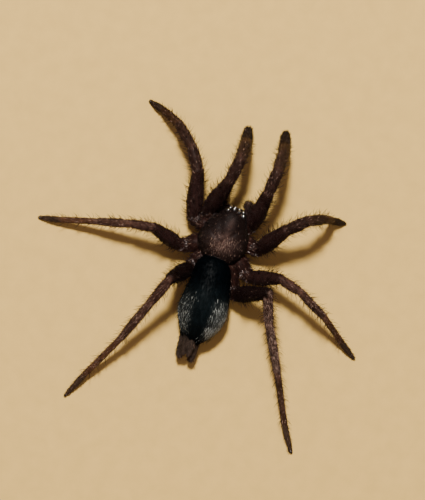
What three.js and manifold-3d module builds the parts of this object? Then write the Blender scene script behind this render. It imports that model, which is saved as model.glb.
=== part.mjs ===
// A ground spider at life size, standing still on its eight feet: an oval cephalothorax, a longer abdomen
// that overhangs it, cylindrical spinnerets, two short palps, downward chelicerae and eight tapered legs.
// Millimetres, +Z up, head towards -Y, the spider's left side towards +X, the floor at z = 0.
import * as THREE from "three";
import { mergeVertices } from "three/addons/utils/BufferGeometryUtils.js";
import Module from "manifold-3d";

const wasm = await Module();
wasm.setup();

// Clearances between neighbouring pieces
const GAP = 0.15;
const EYE_GAP = 0.03;
const FANG_GAP = 0.06;

// Cephalothorax: where it ends, the height of its side margin, and its outline from rear to front
const SHIELD_REAR_Y = 0.12;
const SHIELD_FRONT_Y = -4.45;
const MARGIN_Z = 1.62;
const SHIELD_HALF_WIDTH = [
  [0, 1.2], [0.22, 1.76], [0.42, 1.9], [0.6, 1.7], [0.78, 1.25], [0.9, 1.1], [1, 1.05],
];
const SHIELD_RISE = [
  [0, 0.45], [0.12, 0.85], [0.3, 1.28], [0.45, 1.32], [0.7, 1.36], [0.88, 1.28], [1, 1.02],
];
const SHIELD_DEPTH = [[0, 0.3], [0.3, 0.62], [0.7, 0.66], [1, 0.42]];
const SHIELD_BLUNTNESS = [4, 5];
const SHIELD_SQUARENESS = 0.86;

// The front of the body, from the waist on, is turned this many degrees towards the spider's left
const HEAD_TURN = -5;

// Sternum, the plate between the leg bases
const STERNUM = { y: -1.95, z: 1.02, halfWidth: 0.86, halfLength: 1.2, halfHeight: 0.26 };

// Abdomen: its axis leans and bows a little to the spider's right
const ABDOMEN_FRONT = [-0.1, -0.35];
const ABDOMEN_REAR = [-0.55, 6.12];
const ABDOMEN_BOW = -0.14;
const ABDOMEN_MID_Z = [[0, 2.3], [0.3, 2.1], [0.65, 1.95], [1, 1.62]];
const ABDOMEN_HALF_WIDTH = [
  [0, 1.24], [0.12, 1.4], [0.3, 1.54], [0.5, 1.75], [0.62, 1.83], [0.75, 1.76], [0.88, 1.52], [1, 1.2],
];
const ABDOMEN_RISE = [[0, 0.85], [0.25, 1.3], [0.5, 1.5], [0.75, 1.36], [1, 0.8]];
const ABDOMEN_DEPTH = [[0, 0.85], [0.25, 1.18], [0.55, 1.3], [0.8, 1.02], [1, 0.55]];
const ABDOMEN_BLUNTNESS = [4.8, 2.7];

// Waist between the two
const PEDICEL = { from: [0, -0.6, 1.2], to: [0, 0.8, 1.24], radius: 0.27 };

// Spinnerets: root and tip from the abdomen's rear end, across, back and up, then root and tip radius
const SPINNERETS = {
  anterior: { root: [0.42, -0.75, -0.36], tip: [0.45, 1.17, -0.55], radii: [0.35, 0.29] },
  posterior: { root: [0.27, -0.7, 0.3], tip: [0.2, 0.92, 0.06], radii: [0.28, 0.2] },
  median: { root: [0.13, -0.7, -0.1], tip: [0.13, 0.66, -0.36], radii: [0.13, 0.1] },
};
const SPINNERET_SHIFT = 0.22;
const SPINNERET_LEAN = 0.09;

// Eyes: bearing from straight ahead and height in degrees, seen from the head's centre, and radius
const HEAD_CENTRE = [0, -3.75, 2.15];
const EYES = {
  anterior_median: { bearing: 17, height: 22, radius: 0.12 },
  anterior_lateral: { bearing: 46, height: 20, radius: 0.12 },
  posterior_median: { bearing: 26, height: 46, radius: 0.11 },
  posterior_lateral: { bearing: 72, height: 35, radius: 0.12 },
};
const EYE_PROUD = 0.02;

// Chelicerae and fangs
const CHELICERA = {
  root: [0.41, -3.92, 1.95], tip: [0.42, -4.1, 0.5], radii: [0.39, 0.43, 0.29], bulgeAt: 0.45,
};
const FANG = { root: [0.46, -4.26, 0.5], bend: [0.34, -4.16, 0.3], tip: [0.08, -3.94, 0.3], radius: 0.12 };

// Mouthparts under the head
const MAXILLA = { rear: [0.55, -2.95, 1.0], front: [0.36, -3.6, 0.88], radii: [0.28, 0.34, 0.24] };
const LABIUM = { rear: [0, -3.18, 0.96], front: [0, -3.52, 0.9], radii: [0.14, 0.19, 0.12] };

// Palps: femur, patella, tibia and tarsus
const PALP_LENGTHS = [1.0, 0.5, 0.55, 0.9];
const PALP_RADII = [[0.25, 0.33, 0.28], [0.28, 0.31, 0.28], [0.27, 0.31, 0.28], [0.28, 0.32, 0.16]];
const PALP_HIP = { root: [0.72, -3.3, 1.05], radii: [0.26, 0.27, 0.25] };
const PALP_ROOT = [1.08, -3.75, 1.1];
const PALPS = {
  right: { bearings: [16, 16, 16, 16], pitches: [52, -5, -78, -86] },
  left: { bearings: [12, 8, 2, -2], pitches: [30, -20, -60, -55] },
};

// Legs: lengths of femur, patella, tibia, metatarsus and tarsus for each pair
const LEG_LENGTHS = {
  1: [4.1, 1.9, 2.4, 2.1, 1.2],
  2: [3.8, 1.8, 2.3, 2.1, 1.2],
  3: [3.1, 1.7, 2.8, 3.0, 1.6],
  4: [3.9, 2.4, 4.0, 4.2, 2.1],
};
// Radii at the start, at the thickest place and at the end of each segment
const LEG_RADII = {
  1: {
    coxa: [0.48, 0.66, 0.58], trochanter: [0.52, 0.57, 0.47],
    femur: [0.46, 0.62, 0.45], patella: [0.41, 0.45, 0.4],
    tibia: [0.38, 0.42, 0.37], metatarsus: [0.36, 0.38, 0.36], tarsus: [0.35, 0.35, 0.26],
  },
  2: {
    coxa: [0.5, 0.68, 0.6], trochanter: [0.53, 0.58, 0.48],
    femur: [0.48, 0.63, 0.46], patella: [0.4, 0.44, 0.39],
    tibia: [0.36, 0.39, 0.34], metatarsus: [0.32, 0.33, 0.3], tarsus: [0.29, 0.28, 0.18],
  },
  3: {
    coxa: [0.5, 0.68, 0.6], trochanter: [0.53, 0.57, 0.46],
    femur: [0.44, 0.57, 0.42], patella: [0.35, 0.37, 0.33],
    tibia: [0.3, 0.33, 0.27], metatarsus: [0.26, 0.26, 0.25], tarsus: [0.24, 0.22, 0.15],
  },
  4: {
    coxa: [0.5, 0.68, 0.6], trochanter: [0.54, 0.58, 0.49],
    femur: [0.48, 0.62, 0.45], patella: [0.36, 0.38, 0.34],
    tibia: [0.31, 0.34, 0.28], metatarsus: [0.26, 0.26, 0.25], tarsus: [0.24, 0.22, 0.15],
  },
};
// Where each coxa leaves the sternum
const COXA_ROOTS = {
  1: [0.66, -2.9, 1.3],
  2: [0.86, -2.22, 1.24],
  3: [0.88, -1.4, 1.22],
  4: [0.62, -0.72, 1.24],
};
// Hip: the end of the trochanter. Bearings and pitches are those of femur, patella, tibia and metatarsus,
// and the last bearing is the tarsus's.
const LEGS = {
  left_1: { hip: [1.72, -3.42, 1.4], bearings: [-18, -7, 2, 6, 9], pitches: [49, 18, -61, -83] },
  left_2: { hip: [2.55, -2.64, 1.4], bearings: [13, 34, 49, 68, 75], pitches: [28, -5, -25, -42] },
  left_3: { hip: [2.66, -0.32, 1.35], bearings: [76, 100, 106, 107, 104], pitches: [40, -16, -23, -22] },
  left_4: { hip: [1.5, 1.02, 1.4], bearings: [139, 160, 160, 155, 157], pitches: [67, -26, -25, -22] },
  right_1: { hip: [-1.77, -3.42, 1.4], bearings: [-7, -3, 2, 8, 14], pitches: [49, 11, -55, -77] },
  right_2: { hip: [-2.84, -1.99, 1.4], bearings: [-35, -46, -64, -76, -83], pitches: [50, 16, -55, -74] },
  right_3: { hip: [-2.83, 0.16, 1.35], bearings: [-73, -103, -116, -125, -122], pitches: [41, 7, -18, -40] },
  right_4: { hip: [-2.22, 1.76, 1.4], bearings: [-67, -157, -150, -152, -147], pitches: [50, -27, -18, -18] },
};
const TROCHANTER_LENGTH = 0.5;
const TOE_Z = 0.15;
const COXA_BULGE_AT = 0.7;
const FEMUR_BULGE_AT = 0.4;
const CLAW = { length: 0.26, radius: 0.06, spread: 12, droop: 8, reach: 0.24 };

// Facets
const LEG_SIDES = 9;
const SMALL_SIDES = 8;
const EYE_SIDES = 8;
const BODY_RINGS = 16;
const BODY_SIDES = 24;

const COLOURS = {
  shield: new THREE.Color(0x40302e),
  leg: new THREE.Color(0x3a2826),
  foot: new THREE.Color(0x4a3830),
  abdomen: new THREE.Color(0x23272b),
  mouthparts: new THREE.Color(0x3a1f18),
  eye: new THREE.Color(0x060606),
};

const group = new THREE.Group();

// A smooth value between the listed stations, each [place, value], on a curve with no corner at a station
function along(stations, s) {
  const last = stations.length - 1;
  let i = 1;
  while (i < last && s > stations[i][0]) i += 1;
  const slope = (k) => {
    const [s0, v0] = stations[Math.max(k - 1, 0)];
    const [s1, v1] = stations[Math.min(k + 1, last)];
    return (v1 - v0) / (s1 - s0);
  };
  const [s0, v0] = stations[i - 1];
  const [s1, v1] = stations[i];
  const span = s1 - s0;
  const t = THREE.MathUtils.clamp((s - s0) / span, 0, 1);
  const ease = t * t * (3 - 2 * t);
  const lead = t * (1 - t) * (1 - t);
  const trail = t * t * (1 - t);
  return v0 + (v1 - v0) * ease + span * (slope(i - 1) * lead - slope(i) * trail);
}

// How full a body is at s from 0 to 1: nothing at the ends, and sooner full with more bluntness there
const fullness = (s, [first, last]) => {
  const bluntness = s < 0.5 ? first : last;
  return (1 - Math.abs(2 * s - 1) ** bluntness) ** (1 / bluntness);
};

function solid(geometry) {
  const g = geometry.clone();
  g.deleteAttribute("normal");
  g.deleteAttribute("uv");
  const merged = mergeVertices(g, 1e-4);
  const index = merged.index.array;
  const kept = [];
  for (let i = 0; i < index.length; i += 3) {
    const [a, b, c] = [index[i], index[i + 1], index[i + 2]];
    if (a !== b && b !== c && c !== a) kept.push(a, b, c);
  }
  const vertProperties = merged.attributes.position.array;
  return new wasm.Manifold(new wasm.Mesh({ numProp: 3, vertProperties, triVerts: new Uint32Array(kept) }));
}

const joined = (solids) => solids.reduce((a, b) => a.add(b));
const parted = (made, cutters) => cutters.reduce((a, b) => a.subtract(b), made);
const largest = (made) => made.decompose().reduce((a, b) => (b.volume() > a.volume() ? b : a));

// Keeps what lies more than away beyond the plane through point, on the side that normal points to
function beyond(made, point, normal, away) {
  return made.trimByPlane([normal.x, normal.y, normal.z], point.dot(normal) + away);
}

function place(name, made, colour, roughness = 0.6) {
  const mesh = largest(made).getMesh();
  const g = new THREE.BufferGeometry();
  g.setAttribute("position", new THREE.BufferAttribute(new Float32Array(mesh.vertProperties), 3));
  g.setIndex(new THREE.BufferAttribute(new Uint32Array(mesh.triVerts), 1));
  g.computeVertexNormals();
  const material = new THREE.MeshStandardMaterial({ color: colour, roughness, metalness: 0 });
  const node = new THREE.Mesh(g, material);
  node.name = name;
  group.add(node);
}

const vector = ([x, y, z]) => new THREE.Vector3(x, y, z);
const mirrored = ([x, y, z], side) => new THREE.Vector3(x * side, y, z);

// A place on the front of the body, once that is turned
const UP = new THREE.Vector3(0, 0, 1);
const turned = (v) => v.applyAxisAngle(UP, THREE.MathUtils.degToRad(HEAD_TURN));
const onFront = (place, side = 1) => turned(mirrored(place, side));

// The way a limb points: bearing 0 is the way the head looks, and positive bearings turn to the spider's left
function heading(bearing, pitch) {
  const b = THREE.MathUtils.degToRad(bearing);
  const p = THREE.MathUtils.degToRad(pitch);
  return new THREE.Vector3(Math.sin(b) * Math.cos(p), -Math.cos(b) * Math.cos(p), Math.sin(p));
}

// The turn that lays a shape made along +Y along the direction given
const ALONG_Y = new THREE.Vector3(0, 1, 0);
const turnTo = (direction) => new THREE.Quaternion().setFromUnitVectors(ALONG_Y, direction);

// A round limb piece from a to b with a rounded end at each, thickest at bulgeAt
function limb(a, b, [start, middle, end], { bulgeAt = 0.5, sides = LEG_SIDES, extra = 0 } = {}) {
  const length = a.distanceTo(b);
  const [r0, r1, r2] = [start + extra, middle + extra, end + extra];
  const outline = [new THREE.Vector2(0, -r0 * 0.7), new THREE.Vector2(r0 * 0.72, -r0 * 0.45)];
  const steps = [
    [0, r0], [bulgeAt / 2, (r0 + 2 * r1) / 3], [bulgeAt, r1], [(1 + bulgeAt) / 2, (r1 + r2) / 2], [1, r2],
  ];
  for (const [t, r] of steps) outline.push(new THREE.Vector2(r, t * length));
  outline.push(new THREE.Vector2(r2 * 0.72, length + r2 * 0.45), new THREE.Vector2(0, length + r2 * 0.7));
  const g = new THREE.LatheGeometry(outline, sides);
  g.applyQuaternion(turnTo(b.clone().sub(a).normalize()));
  g.translate(a.x, a.y, a.z);
  return solid(g);
}

// A ball with its poles along Y, every point moved by shape(s, turn): s runs from 0 at the +Y pole to 1
function shapedBall(shape, rings = BODY_RINGS, sides = BODY_SIDES) {
  const g = new THREE.SphereGeometry(1, sides, rings);
  const p = g.getAttribute("position");
  for (let i = 0; i < p.count; i += 1) {
    const s = THREE.MathUtils.clamp((1 - p.getY(i)) / 2, 0, 1);
    const [x, y, z] = shape(s, Math.atan2(p.getZ(i), p.getX(i)));
    p.setXYZ(i, x, y, z);
  }
  return solid(g);
}

const squared = (v, power) => Math.sign(v) * Math.abs(v) ** power;

// Half width, rise and depth of the cephalothorax at s from 0 at its rear to 1 at its front
function shieldAt(s) {
  const full = fullness(s, SHIELD_BLUNTNESS);
  return [along(SHIELD_HALF_WIDTH, s) * full, along(SHIELD_RISE, s) * full, along(SHIELD_DEPTH, s) * full];
}

const cephalothorax = (extra) =>
  shapedBall((s, turn) => {
    const [w, up, down] = shieldAt(s).map((v) => v + extra);
    const y = THREE.MathUtils.lerp(SHIELD_REAR_Y + extra, SHIELD_FRONT_Y - extra, s);
    const high = Math.sin(turn) > 0 ? up : down;
    return [
      w * squared(Math.cos(turn), SHIELD_SQUARENESS) * (s > 0 && s < 1 ? 1 : 0),
      y,
      MARGIN_Z + high * squared(Math.sin(turn), SHIELD_SQUARENESS) * (s > 0 && s < 1 ? 1 : 0),
    ];
  }).rotate([0, 0, HEAD_TURN]);

function insideShield(p) {
  const s = (p.y - SHIELD_REAR_Y) / (SHIELD_FRONT_Y - SHIELD_REAR_Y);
  if (s <= 0 || s >= 1) return false;
  const [w, up, down] = shieldAt(s);
  const high = p.z > MARGIN_Z ? up : down;
  const power = 2 / SHIELD_SQUARENESS;
  return Math.abs(p.x / w) ** power + Math.abs((p.z - MARGIN_Z) / high) ** power < 1;
}

// The point where a line from the head's centre leaves the head
function onHead(way) {
  const centre = vector(HEAD_CENTRE);
  let [near, far] = [0, 3];
  for (let i = 0; i < 30; i += 1) {
    const mid = (near + far) / 2;
    if (insideShield(centre.clone().addScaledVector(way, mid))) near = mid;
    else far = mid;
  }
  return centre.addScaledVector(way, near);
}

function abdomen(extra) {
  return shapedBall((fromRear, turn) => {
    const s = 1 - fromRear;
    const full = fullness(s, ABDOMEN_BLUNTNESS);
    const ends = s > 0 && s < 1 ? 1 : 0;
    const w = (along(ABDOMEN_HALF_WIDTH, s) * full + extra) * ends;
    const high = Math.sin(turn) > 0 ? along(ABDOMEN_RISE, s) : along(ABDOMEN_DEPTH, s);
    const y = THREE.MathUtils.lerp(ABDOMEN_FRONT[1] - extra, ABDOMEN_REAR[1] + extra, s);
    const bow = ABDOMEN_BOW * Math.sin(Math.PI * s);
    const x = THREE.MathUtils.lerp(ABDOMEN_FRONT[0], ABDOMEN_REAR[0], s) + bow + w * Math.cos(turn);
    return [x, y, along(ABDOMEN_MID_Z, s) + (high * full + extra) * ends * Math.sin(turn)];
  });
}

function eyeParts() {
  const parts = [];
  for (const [kind, { bearing, height, radius }] of Object.entries(EYES))
    for (const [sideName, side] of [["left", 1], ["right", -1]]) {
      const way = heading(bearing * side, height);
      const { x, y, z } = turned(onHead(way).addScaledVector(way, EYE_PROUD));
      const ball = (r) => solid(new THREE.SphereGeometry(r, EYE_SIDES, 6).translate(x, y, z));
      parts.push({ name: `eye_${kind}_${sideName}`, eye: ball(radius), socket: ball(radius + EYE_GAP) });
    }
  return parts;
}

// Points of a leg from the sternum to the toe; the tarsus slopes just enough to set the toe on the floor
function legPoints(name) {
  const { hip, bearings, pitches } = LEGS[name];
  const [sideName, pair] = name.split("_");
  const root = onFront(COXA_ROOTS[pair], sideName === "left" ? 1 : -1);
  const end = vector(hip);
  const inward = root.clone().sub(end).normalize();
  const points = [root, end.clone().addScaledVector(inward, TROCHANTER_LENGTH), end];
  LEG_LENGTHS[pair].forEach((length, i) => {
    const from = points.at(-1);
    const pitch = i < 4 ? pitches[i] : -THREE.MathUtils.radToDeg(Math.asin((from.z - TOE_Z) / length));
    points.push(from.clone().addScaledVector(heading(bearings[i], pitch), length));
  });
  return points;
}

// Coxa, trochanter and femur, before they are parted from what they touch
function legBase(name, extra = 0) {
  const p = legPoints(name);
  const radii = LEG_RADII[name.split("_")[1]];
  return joined([
    limb(p[0], p[1], radii.coxa, { extra, bulgeAt: COXA_BULGE_AT }),
    limb(p[1], p[2], radii.trochanter, { extra }),
    limb(p[2], p[3], radii.femur, { extra, bulgeAt: FEMUR_BULGE_AT }),
  ]);
}

const wayOn = (p, i) => p[i + 1].clone().sub(p[i]).normalize();
const jointNormal = (p, i) => wayOn(p, i - 1).add(wayOn(p, i)).normalize();

function claws(toe, way) {
  const bearing = THREE.MathUtils.radToDeg(Math.atan2(way.x, -way.y));
  return [-1, 1].map((side) => {
    const aim = heading(bearing + side * CLAW.spread, -CLAW.droop);
    const g = new THREE.ConeGeometry(CLAW.radius, CLAW.length, 5);
    g.applyQuaternion(turnTo(aim));
    const middle = toe.clone().addScaledVector(aim, CLAW.reach - CLAW.length / 2);
    return solid(g.translate(middle.x, middle.y, middle.z + CLAW.radius));
  });
}

function addLeg(name, cutters) {
  const p = legPoints(name);
  const radii = LEG_RADII[name.split("_")[1]];
  const knee = jointNormal(p, 3);
  const ankle = jointNormal(p, 5);
  const back = (n) => n.clone().negate();

  const base = beyond(legBase(name), p[3], back(knee), GAP / 2);
  place(`leg_${name}_femur`, parted(base, cutters), COLOURS.leg);

  const middle = joined([limb(p[3], p[4], radii.patella), limb(p[4], p[5], radii.tibia)]);
  const clearOfKnee = beyond(middle, p[3], knee, GAP / 2);
  place(`leg_${name}_tibia`, beyond(clearOfKnee, p[5], back(ankle), GAP / 2), COLOURS.leg);

  const foot = joined([
    limb(p[5], p[6], radii.metatarsus),
    limb(p[6], p[7], radii.tarsus),
    ...claws(p[7], p[7].clone().sub(p[6])),
  ]);
  const standing = foot.trimByPlane([0, 0, 1], 0);
  place(`leg_${name}_tarsus`, beyond(standing, p[5], ankle, GAP / 2), COLOURS.foot);
}

function maxilla(side, extra) {
  const rear = onFront(MAXILLA.rear, side);
  return limb(rear, onFront(MAXILLA.front, side), MAXILLA.radii, { sides: SMALL_SIDES, extra });
}

function palpPoints(sideName) {
  const { bearings, pitches } = PALPS[sideName];
  const points = [onFront(PALP_ROOT, sideName === "left" ? 1 : -1)];
  PALP_LENGTHS.forEach((length, i) => {
    points.push(points.at(-1).clone().addScaledVector(heading(bearings[i], pitches[i]), length));
  });
  return points;
}

// The palp's base, femur and patella
function palpBase(sideName, extra = 0) {
  const p = palpPoints(sideName);
  const root = onFront(PALP_HIP.root, sideName === "left" ? 1 : -1);
  return joined([
    limb(root, p[0], PALP_HIP.radii, { sides: SMALL_SIDES, extra }),
    limb(p[0], p[1], PALP_RADII[0], { sides: SMALL_SIDES, extra }),
    limb(p[1], p[2], PALP_RADII[1], { sides: SMALL_SIDES, extra }),
  ]);
}

function addPalp(sideName, cutters) {
  const side = sideName === "left" ? 1 : -1;
  const p = palpPoints(sideName);
  const knee = jointNormal(p, 2);
  const base = beyond(palpBase(sideName), p[2], knee.clone().negate(), GAP / 2);
  const tarsus = joined([2, 3].map((i) => limb(p[i], p[i + 1], PALP_RADII[i], { sides: SMALL_SIDES })));
  place(`maxilla_${sideName}`, parted(maxilla(side, 0), cutters), COLOURS.mouthparts);
  place(`palp_${sideName}_femur`, parted(base, [...cutters, maxilla(side, GAP)]), COLOURS.leg);
  place(`palp_${sideName}_tarsus`, beyond(tarsus, p[2], knee, GAP / 2), COLOURS.leg);
}

function jaw(side, extra) {
  const { root, tip, radii, bulgeAt } = CHELICERA;
  return limb(onFront(root, side), onFront(tip, side), radii, { bulgeAt, extra });
}

function addChelicera(sideName, cutters) {
  const side = sideName === "left" ? 1 : -1;
  const body = jaw(side, 0);
  const clear = beyond(body, new THREE.Vector3(), onFront([1, 0, 0], side), GAP / 2);
  const r = FANG.radius;
  const [root, bend, tip] = [FANG.root, FANG.bend, FANG.tip].map((v) => onFront(v, side));
  const fang = (extra) =>
    joined([
      limb(root, bend, [r, r, r * 0.9], { sides: 7, extra }),
      limb(bend, tip, [r * 0.9, r * 0.6, 0.03], { sides: 7, extra }),
    ]);
  place(`chelicera_${sideName}`, parted(clear, [...cutters, fang(FANG_GAP)]), COLOURS.mouthparts, 0.4);
  place(`fang_${sideName}`, fang(0), COLOURS.mouthparts, 0.3);
}

function addSpinnerets(cutter) {
  const [x0, y0] = ABDOMEN_REAR;
  const z0 = along(ABDOMEN_MID_Z, 1);
  for (const [kind, { root, tip, radii }] of Object.entries(SPINNERETS))
    for (const [sideName, side] of [["left", 1], ["right", -1]]) {
      const at = ([across, back, up]) =>
        new THREE.Vector3(x0 + SPINNERET_SHIFT + across * side - back * SPINNERET_LEAN, y0 + back, z0 + up);
      const body = limb(at(root), at(tip), [radii[0], radii[0], radii[1]], { sides: SMALL_SIDES });
      place(`spinneret_${kind}_${sideName}`, body.subtract(cutter), COLOURS.shield);
    }
}

// Head and body
const headShell = cephalothorax(GAP);
const eyes = eyeParts();
place("cephalothorax", parted(cephalothorax(0), eyes.map((e) => e.socket)), COLOURS.shield);
for (const { name, eye } of eyes) place(name, eye, COLOURS.eye, 0.1);
const sternum = (extra) =>
  solid(
    new THREE.SphereGeometry(1, 18, 8)
      .scale(STERNUM.halfWidth + extra, STERNUM.halfLength + extra, STERNUM.halfHeight + extra)
      .translate(0, STERNUM.y, STERNUM.z),
  ).rotate([0, 0, HEAD_TURN]);
place("sternum", sternum(0).subtract(headShell), COLOURS.shield);
place("abdomen", abdomen(0).subtract(headShell), COLOURS.abdomen, 0.7);
const waistRadii = Array(3).fill(PEDICEL.radius);
const waist = (extra) =>
  limb(vector(PEDICEL.from), vector(PEDICEL.to), waistRadii, { sides: SMALL_SIDES, extra });
place("pedicel", parted(waist(0), [headShell, abdomen(GAP)]), COLOURS.shield);
addSpinnerets(abdomen(GAP));

// Mouthparts, from the middle outwards, each cut clear of the last
const labium = (extra) =>
  limb(onFront(LABIUM.rear), onFront(LABIUM.front), LABIUM.radii, { sides: SMALL_SIDES, extra });
place("labium", parted(labium(0), [headShell, sternum(GAP), jaw(1, GAP), jaw(-1, GAP)]), COLOURS.mouthparts);
for (const [sideName, side] of [["left", 1], ["right", -1]]) {
  addChelicera(sideName, [headShell]);
  addPalp(sideName, [headShell, sternum(GAP), labium(GAP), jaw(side, GAP)]);
}

// Legs, each base cut clear of the body and of the limb in front
const bodyShells = [headShell, sternum(GAP), abdomen(GAP), waist(GAP)];
for (const [sideName, side] of [["left", 1], ["right", -1]])
  for (const pair of [1, 2, 3, 4]) {
    const mouthShells = [maxilla(side, GAP), palpBase(sideName, GAP)];
    const before = pair > 1 ? [legBase(`${sideName}_${pair - 1}`, GAP)] : mouthShells;
    addLeg(`${sideName}_${pair}`, [...bodyShells, ...before]);
  }

// The origin is on the floor, in the middle of the space that the spider takes up
const room = new THREE.Box3().setFromObject(group);
const middle = room.getCenter(new THREE.Vector3());
group.position.set(-middle.x, -middle.y, 0);

export default group;
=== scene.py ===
"""A ground spider at life size: one skin over the whole animal, its coat of hair, eyes, fangs and claws.

Shapes are worked out in millimetres in the spider's own frame (head towards -Y, left side towards +X, the
waist at x = 0, y = 0, the floor at z = 0) and go into the scene in metres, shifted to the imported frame.
"""

import math

import bpy
import numpy as np
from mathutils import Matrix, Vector


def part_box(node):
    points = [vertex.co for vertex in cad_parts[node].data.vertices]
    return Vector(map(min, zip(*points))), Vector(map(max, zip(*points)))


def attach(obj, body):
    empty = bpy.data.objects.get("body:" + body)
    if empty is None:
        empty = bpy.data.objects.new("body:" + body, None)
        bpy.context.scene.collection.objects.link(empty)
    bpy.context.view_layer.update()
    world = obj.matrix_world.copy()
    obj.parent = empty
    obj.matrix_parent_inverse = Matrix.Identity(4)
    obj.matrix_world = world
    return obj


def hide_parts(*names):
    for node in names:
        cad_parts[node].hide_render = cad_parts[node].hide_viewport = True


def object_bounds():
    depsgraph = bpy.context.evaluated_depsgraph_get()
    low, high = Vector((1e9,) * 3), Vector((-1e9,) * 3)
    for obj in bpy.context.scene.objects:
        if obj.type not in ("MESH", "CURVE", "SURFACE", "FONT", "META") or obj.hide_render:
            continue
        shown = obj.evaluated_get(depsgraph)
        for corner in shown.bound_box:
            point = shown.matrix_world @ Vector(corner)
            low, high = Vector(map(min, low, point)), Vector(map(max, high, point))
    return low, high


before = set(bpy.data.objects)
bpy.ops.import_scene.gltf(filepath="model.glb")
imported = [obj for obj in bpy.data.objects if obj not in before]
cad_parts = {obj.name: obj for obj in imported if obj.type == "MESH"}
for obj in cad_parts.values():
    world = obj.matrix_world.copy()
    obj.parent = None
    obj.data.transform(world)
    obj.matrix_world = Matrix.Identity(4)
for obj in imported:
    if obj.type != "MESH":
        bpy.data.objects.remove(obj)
CAD_BOX = [list(corner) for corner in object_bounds()]
MM = 0.001
TINY = 1e-12
SIDES = {"left": 1, "right": -1}

# Cephalothorax: its ends, margin height and outline from rear to front, as in the solids
SHIELD_REAR_Y = 0.12
SHIELD_FRONT_Y = -4.45
MARGIN_Z = 1.62
SHIELD_HALF_WIDTH = [(0, 1.2), (0.22, 1.76), (0.42, 1.9), (0.6, 1.7), (0.78, 1.25), (0.9, 1.1), (1, 1.05)]
SHIELD_RISE = [(0, 0.45), (0.12, 0.85), (0.3, 1.28), (0.45, 1.32), (0.7, 1.36), (0.88, 1.28), (1, 1.02)]
SHIELD_DEPTH = [(0, 0.3), (0.3, 0.62), (0.7, 0.66), (1, 0.42)]
SHIELD_BLUNTNESS = (4, 5)
SHIELD_FORM = ((SHIELD_HALF_WIDTH, SHIELD_RISE, SHIELD_DEPTH), SHIELD_BLUNTNESS)
SHIELD_SQUARENESS = 0.86
SHIELD_POWER = 2 / SHIELD_SQUARENESS
# The rim's middle and width by the sine of the angle round the body, and how far it stands out
RIM = (-0.02, 0.09)
RIM_OUT = 0.035
FURROWS_ABOVE = 0.2
FOVEA = {"y": -1.45, "length": 0.34, "width": 0.07, "depth": 0.13, "ends": (0.6, 1.3)}
GROOVES = {"count": 4, "first": 28, "step": 34, "width": 5.5, "depth": 0.045}
GROOVES_REACH = ((0.25, 0.6), (1.25, 1.7))
NECK_GROOVE = {"away": 1.75, "width": 0.22, "depth": 0.05, "front": (60, 25), "rear": (12, 30)}

# The front of the body, from the waist on, is turned this many degrees towards the spider's left
HEAD_TURN = -5

STERNUM = {"y": -1.95, "z": 1.02, "half_width": 0.86, "half_length": 1.2, "half_height": 0.26}

# Abdomen: axis ends, bow and outline from front to rear, as in the solids
ABDOMEN_FRONT = (-0.1, -0.35)
ABDOMEN_REAR = (-0.55, 6.12)
ABDOMEN_BOW = -0.14
ABDOMEN_MID_Z = [(0, 2.3), (0.3, 2.1), (0.65, 1.95), (1, 1.62)]
ABDOMEN_HALF_WIDTH = [
    (0, 1.24), (0.12, 1.4), (0.3, 1.54), (0.5, 1.75), (0.62, 1.83), (0.75, 1.76), (0.88, 1.52), (1, 1.2),
]
ABDOMEN_RISE = [(0, 0.85), (0.25, 1.3), (0.5, 1.5), (0.75, 1.36), (1, 0.8)]
ABDOMEN_DEPTH = [(0, 0.85), (0.25, 1.18), (0.55, 1.3), (0.8, 1.02), (1, 0.55)]
ABDOMEN_BLUNTNESS = (4.8, 2.7)
ABDOMEN_FORM = ((ABDOMEN_HALF_WIDTH, ABDOMEN_RISE, ABDOMEN_DEPTH), ABDOMEN_BLUNTNESS)
# Pairs of dimples on its back, by place along it and distance from the middle, and a fold across its belly
DIMPLES = ((0.34, 0.42), (0.5, 0.5), (0.63, 0.46))
DIMPLE = {"length": 0.018, "width": 0.1, "depth": 0.02, "up": (0.55, 0.95)}
FOLD = {"place": 0.3, "width": 0.012, "depth": 0.05, "down": (-0.3, -0.8)}

# Spinnerets: root and tip from the abdomen's rear end, across, back and up, then root and tip radius
SPINNERETS = {
    "anterior": ((0.42, -0.75, -0.36), (0.45, 1.17, -0.55), (0.35, 0.29)),
    "posterior": ((0.27, -0.7, 0.3), (0.2, 0.92, 0.06), (0.28, 0.2)),
    "median": ((0.13, -0.7, -0.1), (0.13, 0.66, -0.36), (0.13, 0.1)),
}
SPINNERET_SHIFT = 0.22
SPINNERET_LEAN = 0.09
SPIGOTS = {"count": 6, "circle": 0.6, "out": 0.45, "length": 0.11, "radii": (0.032, 0.0256, 0.016)}

# Eyes: bearing from straight ahead and height in degrees from the head's centre, and radius
HEAD_CENTRE = (0, -3.75, 2.15)
EYES = {
    "anterior_median": (17, 22, 0.12),
    "anterior_lateral": (46, 20, 0.12),
    "posterior_median": (26, 46, 0.11),
    "posterior_lateral": (72, 35, 0.12),
}
EYE_PROUD = 0.02
LENS_SCALE = 1.2
LENS_SUNK = 0.28

# Jaws, mouth parts and waist: their ends, then their radii, and the fang: root, bend, tip and radius
CHELICERA = ((0.41, -3.92, 1.95), (0.42, -4.1, 0.5), (0.39, 0.43, 0.29))
FANG = ((0.46, -4.26, 0.5), (0.34, -4.16, 0.3), (0.08, -3.94, 0.3), 0.12)
FANG_TAPER = 0.8
FANG_POINT = 0.012
MAXILLA = ((0.55, -2.95, 1.0), (0.36, -3.6, 0.88), (0.28, 0.34, 0.24))
LABIUM = ((0, -3.18, 0.96), (0, -3.52, 0.9), (0.14, 0.19, 0.12))
PEDICEL = ((0, -0.6, 1.2), (0, 0.8, 1.24), 0.27)

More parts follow.
